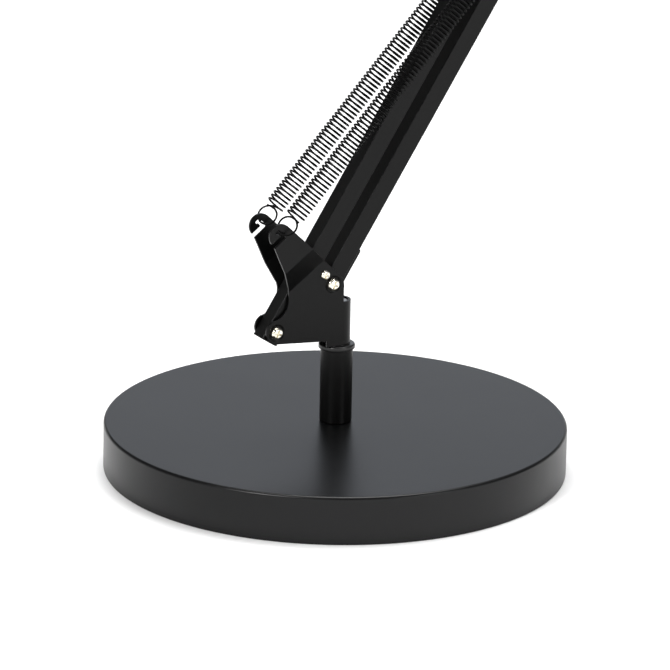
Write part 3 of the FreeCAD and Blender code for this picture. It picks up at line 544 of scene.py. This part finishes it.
def make_lower_springs():
    """Each lower loop stands across its ear, half on each side of it, turned a little to the near side."""
    hook = Vector(JOINT["lower_spring_swing"]["pos_m"])
    pin = middle("lower_spring_pin")
    axis = Vector((pin.x - hook.x, 0, pin.z - hook.z)).normalized()
    level = Vector((axis.z, 0, -axis.x))
    across = level * math.sin(LOOP_TURN) - Vector((0, 1, 0)) * math.cos(LOOP_TURN)
    for turned, node in ((1, "lower_spring_near"), (-1, "lower_spring_far")):
        piece = spring_between(node, hook, pin, (LOOP, across * turned), (ON_PIN, level * turned))
        seat(piece, node)


def make_upper_springs():
    """The upper springs, wound from the pin at the elbow to the pin on the upper bar, and left unattached to any
    body.
    """
    hook = middle("elbow_spring_pin")
    pin = middle("upper_spring_pin")
    axis = (pin - hook).normalized()
    level = Vector((axis.z, 0, -axis.x))
    for node in ("upper_spring_near", "upper_spring_far"):
        piece = spring_between(node, hook, pin, (ON_PIN, level), (ON_PIN, level))
        paint(piece, FINISH[SLOT_OF[node]])
        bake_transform(piece)
        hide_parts(node)


# ---------------------------------------------------------------- shade and bulb

def make_shade():
    """Spun bell with an eased shoulder, a straight flare and a rolled rim, white inside."""
    low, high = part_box("shade")
    x = (low.x + high.x) / 2
    top = high.z
    foot = low.z + 1.6 * MM
    rim_r = (high.x - low.x) / 2 - 0.9 * MM
    hole = 19.3 * MM
    neck = 29.6 * MM
    neck_edge = 1.0 * MM
    start = Vector((neck, top - 12 * MM))
    shoulder = Vector((56 * MM, top - 40 * MM))
    wall = 1.0 * MM
    bead = 1.3 * MM
    bead_centre = (rim_r - 0.5 * MM, foot - 0.2 * MM)
    rim_band = 3 * MM
    looks_down = -0.5
    travel = (Vector((rim_r, foot)) - shoulder).normalized()
    inward = Vector((travel.y, -travel.x))
    chord = shoulder - start
    radius = -chord.length_squared / (2 * chord.dot(inward))
    centre = shoulder + inward * radius
    first = math.degrees(math.atan2(start.y - centre.y, start.x - centre.x))
    last = math.degrees(math.atan2(shoulder.y - centre.y, shoulder.x - centre.x))
    curve = arc(centre, abs(radius), first, last, 14)[1:]
    outside = [(hole, top), (neck - neck_edge, top), (neck, top - neck_edge), tuple(start)]
    outside += curve + [(rim_r, foot)]
    outside += arc(bead_centre, bead, 45, -200, 10)
    inside = [(rim_r - wall * 1.4, foot + 1.2 * MM)]
    inside += [(r - wall, z - wall * 0.5) for r, z in reversed(curve)]
    inside += [(neck - wall, start.y - wall), (neck - wall, top - wall), (hole, top - wall)]
    piece = lathe("shade_spun", outside + inside, steps=160, closed=True, axis_x=x)
    smooth(piece, sharp=40)
    paint(piece, FINISH["shade_paint"])
    piece.data.materials.append(ENAMEL)
    for face in piece.data.polygons:
        out = Vector((face.center.x - x, face.center.y, 0))
        if face.normal.dot(out) < 0 or (face.normal.z < looks_down and out.length < rim_r - rim_band):
            face.material_index = 1
    seat(piece, "shade")


def make_bulb():
    """Globe bulb: a neck that swells into the globe by one soft curve."""
    low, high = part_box("bulb_globe")
    x = (low.x + high.x) / 2
    globe = 29.8 * MM
    centre = (0.0, low.z + 30 * MM)
    neck = 12.4 * MM
    neck_foot = high.z - 14 * MM
    edge = 1 * MM
    steps = 8
    profile = [(0, centre[1] - globe)] + arc(centre, globe, -86, 38, 26)
    join_r, join_z = profile[-1]
    for index in range(1, steps + 1):
        share = index / steps
        ease = share * share * (3 - 2 * share)
        profile.append((join_r + (neck - join_r) * ease, join_z + (neck_foot - join_z) * share))
    profile += [(neck, high.z - edge), (neck - edge, high.z), (0, high.z)]
    piece = lathe("bulb_globe_moulded", profile, steps=96, closed=False, axis_x=x)
    smooth(piece, sharp=60)
    seat(piece, "bulb_globe")


def make_bulb_cap():
    """Screw cap with a rolled thread, the slope of its insulator and the contact."""
    low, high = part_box("bulb_cap")
    x = (low.x + high.x) / 2
    core = 12.2 * MM
    crest = 1.1 * MM
    pitch = 4.0 * MM
    rings = 4
    ring_steps = 8
    plain_top = low.z + 2 * MM
    thread_foot = low.z + 3 * MM
    insulator = [(core, high.z - 5 * MM), (10 * MM, high.z - 4 * MM)]
    contact = [(4.6 * MM, high.z - 0.6 * MM), (3.6 * MM, high.z), (0, high.z)]
    profile = [(0, low.z), (core, low.z), (core, plain_top)]
    for index in range(rings * ring_steps + 1):
        wave = 0.5 - 0.5 * math.cos(TURN * index / ring_steps)
        profile.append((core + crest * wave, thread_foot + pitch * index / ring_steps))
    profile += insulator + contact
    piece = lathe("bulb_cap_rolled", profile, steps=72, closed=False, axis_x=x)
    smooth(piece, sharp=50)
    seat(piece, "bulb_cap")


# ---------------------------------------------------------------- the rest, from the CAD pieces

# how wide each piece's edges are eased, in millimetres; at 0 they stay as the CAD piece has them
EASED = {
    "swivel_bracket": 0.3, "lower_front_bar": 0.0, "lower_rear_bar": 0.0, "stop_plate": 0.2,
    "upper_front_bar": 0.0, "upper_rear_bar": 0.0,
    "elbow_plate_near": 0.0, "elbow_plate_far": 0.0, "head_plate_near": 0.0, "head_plate_far": 0.0,
    "shoulder_screws": 0.12, "friction_screw": 0.1, "shoulder_nuts": 0.2,
    "elbow_screws": 0.12, "elbow_nuts": 0.2, "head_screws": 0.12, "head_nuts": 0.2,
    "block_screws": 0.1, "lug_screws": 0.1, "head_block": 0.5, "head_stem": 0.3, "stem_clip": 0.15,
    "shade_lug": 0.35, "tilt_bolt": 0.2, "tilt_knob": 0.5, "shade_cap": 0.3,
    "lampholder": 0.4, "holder_ring": 0.3, "holder_contact": 0.2,
    "switch_body": 0.3, "switch_button": 0.2, "cord_gland": 0.2, "swivel_pin": 0.2,
    "lower_spring_pin": 0.0, "upper_spring_pin": 0.0, "elbow_spring_pin": 0.0,
    "lower_spring_clips": 0.15, "upper_spring_clips": 0.15, "elbow_spring_clips": 0.15,
    "lower_front_bushes": 0.25, "lower_rear_bushes": 0.25,
    "upper_front_bushes": 0.25, "upper_rear_bushes": 0.25,
    "base_weight": 0.5, "base_pad": 0.2, "post_plug": 0.2, "post_washer": 0.2, "post_bolt": 0.3,
}


def make_the_rest():
    for node, ease in EASED.items():
        refined(node, ease * MM)


# ---------------------------------------------------------------- stage, light and camera

FLOOR_SIZE = 24.0
# the sky's height runs from 0 at the horizon to 1 overhead
WHITE_UP_TO = 0.1
DIM_FROM = 0.2
DIM = 0.1
# what the lights face: a point a little above the base
LIT_POINT = Vector((0, 0, 0.1))


def make_stage():
    """A pale floor without an edge in view."""
    clear_selection()
    bpy.ops.mesh.primitive_plane_add(size=FLOOR_SIZE, location=(0, 0, 0))
    floor = bpy.context.object
    floor.name = "floor"
    material, nodes, links, shader, where = new_material("floor_pale")
    cloud = noise(nodes, links, where, scale=3, detail=2.0)
    links.new(shades(nodes, links, cloud, grey(0.93), grey(0.95)), shader.inputs["Base Color"])
    shader.inputs["Roughness"].default_value = 0.9
    floor.data.materials.append(material)


def make_world():
    """White at the horizon, where it meets the floor, and dim above, so that the blacks keep their depth."""
    world = bpy.data.worlds.new("studio")
    bpy.context.scene.world = world
    world.use_nodes = True
    nodes, links = world.node_tree.nodes, world.node_tree.links
    height = nodes.new("ShaderNodeSeparateXYZ")
    links.new(nodes.new("ShaderNodeTexCoord").outputs["Generated"], height.inputs["Vector"])
    sky = shades(nodes, links, height.outputs["Z"], grey(1), grey(DIM), WHITE_UP_TO, DIM_FROM)
    links.new(sky, nodes["Background"].inputs["Color"])
    bpy.context.scene.view_settings.view_transform = "Standard"


def softbox(name, place, size, power, colour=(1, 1, 1)):
    """A rectangular light that faces the lit point."""
    clear_selection()
    bpy.ops.object.light_add(type="AREA", location=place)
    light = bpy.context.object
    light.name = name
    light.data.shape = "RECTANGLE"
    light.data.size = size[0]
    light.data.size_y = size[1]
    light.data.energy = power
    light.data.color = colour
    light.rotation_euler = (LIT_POINT - Vector(place)).to_track_quat("-Z", "Y").to_euler()


def ceiling(strength, spread_angle, lean):
    """Light from the whole ceiling, as even on the far floor as under the lamp."""
    clear_selection()
    bpy.ops.object.light_add(type="SUN", location=(0, 0, 3))
    light = bpy.context.object
    light.name = "ceiling"
    light.data.energy = strength
    light.data.angle = math.radians(spread_angle)
    light.rotation_euler = (math.radians(lean[0]), math.radians(lean[1]), 0)


def make_lights():
    """A lit ceiling, a window behind to the right, and a panel on each side."""
    ceiling(strength=3.45, spread_angle=40, lean=(-8, 10))
    softbox("back_softbox", (1.6, 2.6, 1.1), size=(2.2, 1.5), power=8.2, colour=(0.84, 0.9, 1.0))
    softbox("left_panel", (-2.3, -1.0, 1.75), size=(0.7, 0.7), power=60)
    softbox("right_panel", (0.9, -2.6, 0.9), size=(0.9, 0.9), power=18)


def turned_towards(first, second, angle):
    """Two square directions, both turned by the angle so that the first leans towards the second."""
    sine, cosine = math.sin(angle), math.cos(angle)
    return first * cosine + second * sine, second * cosine - first * sine


def make_camera():
    """A long lens from the near left, a little above, tipped up so that the base sits low in the frame."""
    azimuth, elevation = math.radians(-28.8), math.radians(19.18)
    distance = 2.201
    tip, swing, roll = math.radians(1.693), math.radians(-0.024), math.radians(1.0)
    back = Vector((math.sin(azimuth) * math.cos(elevation), -math.cos(azimuth) * math.cos(elevation),
                   math.sin(elevation)))
    forward = -back
    right = forward.cross(Vector((0, 0, 1))).normalized()
    up = right.cross(forward)
    forward, up = turned_towards(forward, up, tip)
    forward, right = turned_towards(forward, right, swing)
    right, up = turned_towards(right, up, roll)
    clear_selection()
    bpy.ops.object.camera_add(location=back * distance)
    camera = bpy.context.object
    camera.name = "camera"
    camera.rotation_euler = Matrix((right, up, -forward)).transposed().to_euler()
    camera.data.sensor_width = 36
    camera.data.lens = 237.4
    camera.data.clip_start = 0.1
    camera.data.clip_end = 60
    bpy.context.scene.camera = camera


make_camera()
make_world()
make_stage()
make_lights()
make_base_shell()
make_post_sleeve()
make_post_bush()
make_lower_springs()
make_upper_springs()
make_shade()
make_bulb()
make_bulb_cap()
make_the_rest()
